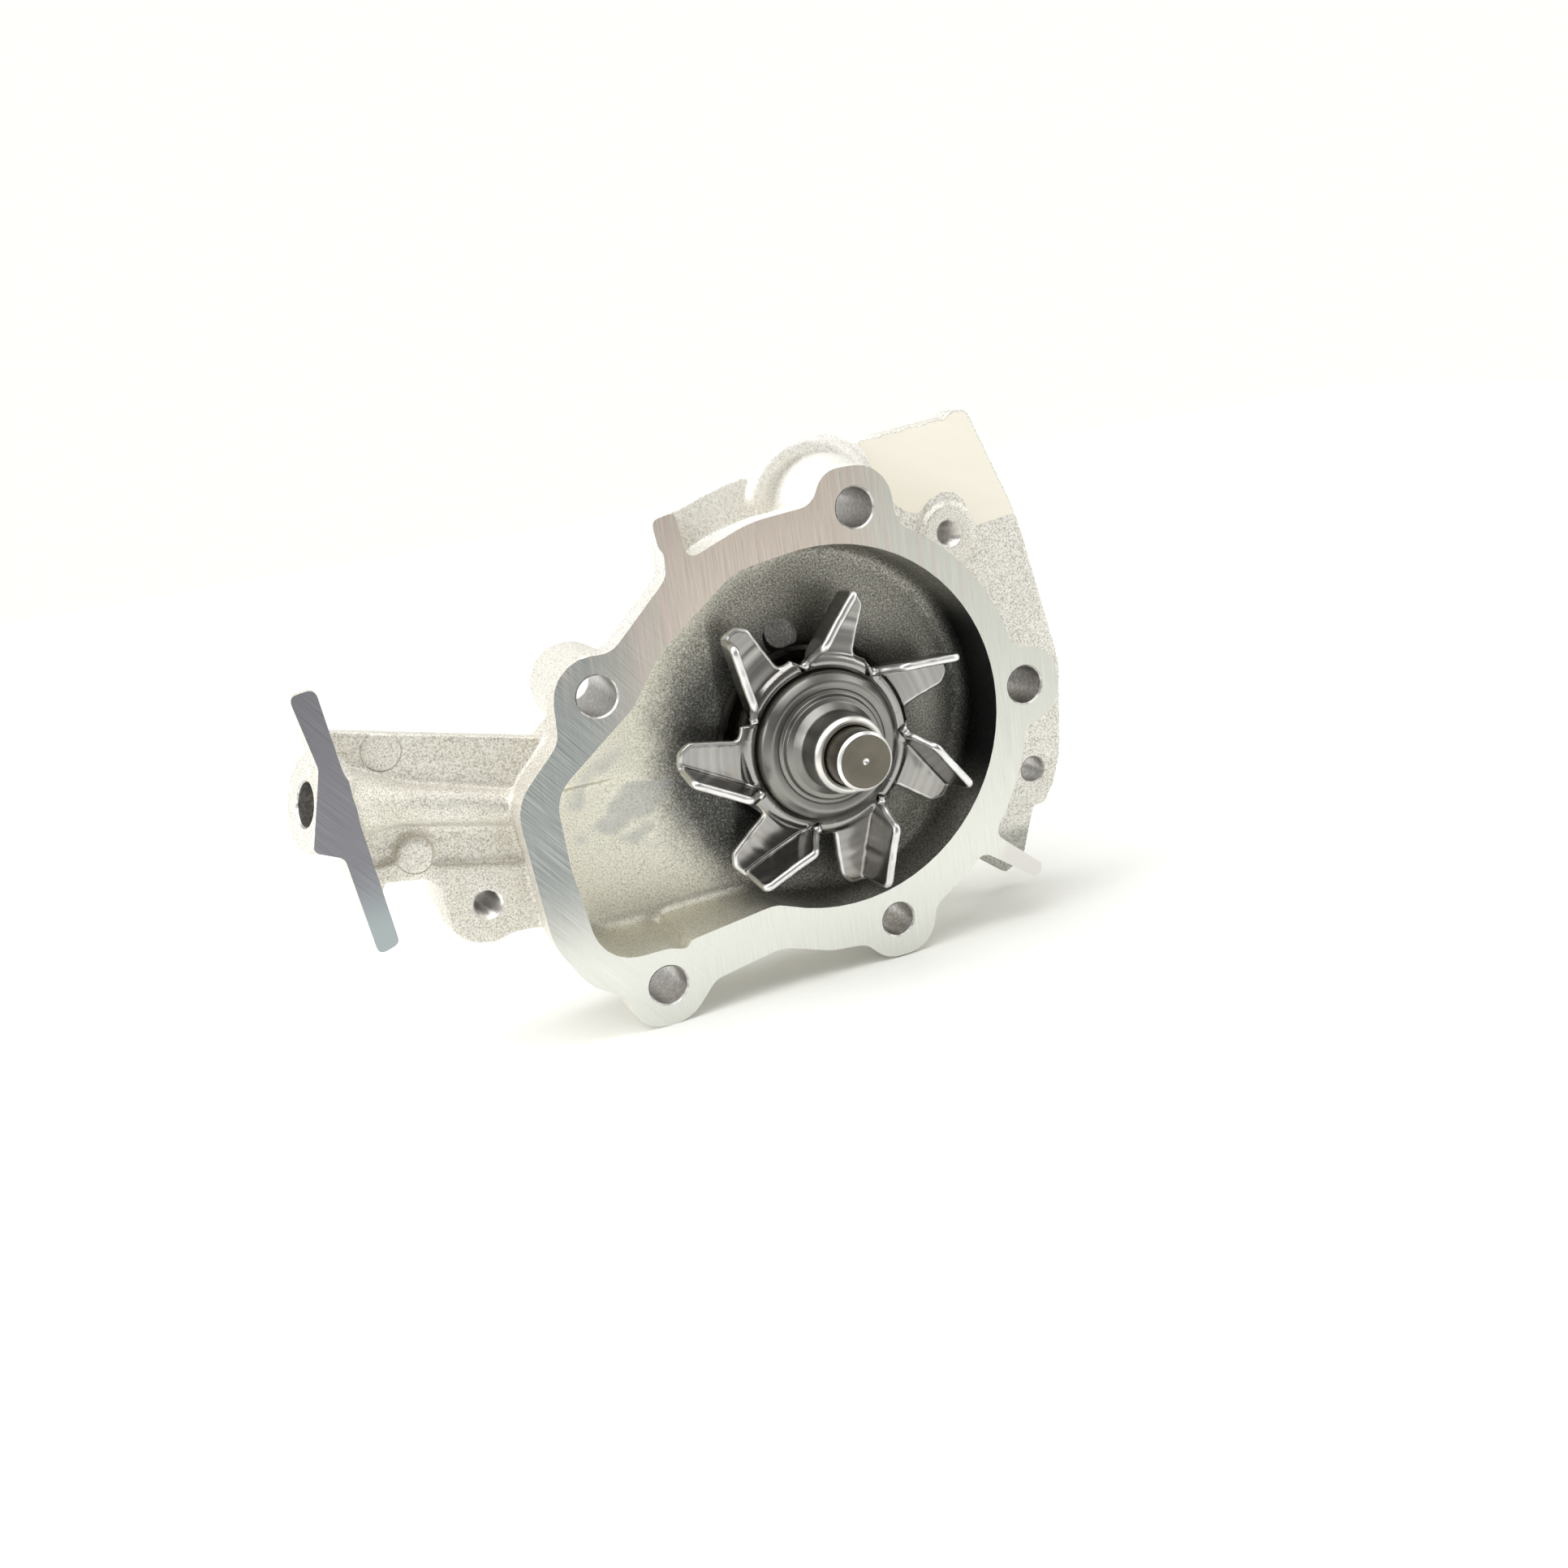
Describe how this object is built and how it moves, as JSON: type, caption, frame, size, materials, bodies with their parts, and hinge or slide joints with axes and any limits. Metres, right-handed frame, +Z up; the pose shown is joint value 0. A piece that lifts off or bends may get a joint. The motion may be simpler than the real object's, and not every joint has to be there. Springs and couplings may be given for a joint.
{
  "type": "engine water pump",
  "caption": "Cast engine water pump with a pressed steel impeller, sealed shaft bearing, pulley hub and bracket arm.",
  "frame": {"origin": "where the shaft axis meets the milled mating face", "axes": "-Y is the way the mating face looks, +Y runs along the shaft to the pulley hub, +Z is up and +X is right as seen from the engine side"},
  "size_m": [0.194, 0.105, 0.1243],
  "materials": {
    "housing": "shot-blasted casting, with milled mating and spot faces",
    "drain_plug": "yellow zinc plated pressed cup",
    "bearing_outer_ring": "ground",
    "bearing_seal_front": "matt black",
    "bearing_seal_rear": "matt black",
    "bearing_balls": "polished",
    "ball_cage": "moulded polyamide",
    "bearing_rollers": "ground",
    "roller_cage": "moulded polyamide",
    "seal_case": "drawn, copper-toned",
    "seal_bellows": "matt black",
    "seal_spring": "drawn wire",
    "seal_spring_washer": "pressed",
    "seal_carbon_ring": "lapped carbon, dark grey",
    "seal_mating_ring": "lapped ceramic, ivory",
    "seal_seat_cup": "matt black",
    "slinger": "pressed",
    "pump_shaft": "ground, with a darkened end",
    "impeller_vane_plate": "pressed sheet, dark with rubbed edges",
    "impeller_hub": "deep-drawn sheet, dark and glossy",
    "pulley_hub": "turned, phosphate grey"
  },
  "bodies": {
    "housing_body": {"housing": "housing", "drain_plug": "drain_plug", "bearing_outer_ring": "bearing_outer_ring", "bearing_seal_front": "bearing_seal_front", "bearing_seal_rear": "bearing_seal_rear", "seal_case": "seal_case", "seal_bellows": "seal_bellows", "seal_spring": "seal_spring", "seal_spring_washer": "seal_spring_washer", "seal_carbon_ring": "seal_carbon_ring"},
    "rotor": {"pump_shaft": "pump_shaft", "impeller_vane_plate": "impeller_vane_plate", "impeller_hub": "impeller_hub", "seal_mating_ring": "seal_mating_ring", "seal_seat_cup": "seal_seat_cup", "slinger": "slinger", "pulley_hub": "pulley_hub"},
    "ball_set": {"bearing_balls": "bearing_balls", "ball_cage": "ball_cage"},
    "roller_set": {"bearing_rollers": "bearing_rollers", "roller_cage": "roller_cage"}
  },
  "joints": [
    {"name": "rotor_spin", "type": "hinge", "parent": "housing_body", "child": "rotor", "pos_m": [0, 0, 0], "axis": [0, 1, 0], "continuous": true},
    {"name": "ball_set_spin", "type": "hinge", "parent": "housing_body", "child": "ball_set", "pos_m": [0, 0, 0], "axis": [0, 1, 0], "continuous": true},
    {"name": "roller_set_spin", "type": "hinge", "parent": "housing_body", "child": "roller_set", "pos_m": [0, 0, 0], "axis": [0, 1, 0], "continuous": true}
  ],
  "couplings": [
    {"joint": "ball_set_spin", "follows": "rotor_spin", "ratio": 0.3702},
    {"joint": "roller_set_spin", "follows": "rotor_spin", "ratio": 0.4154}
  ]
}
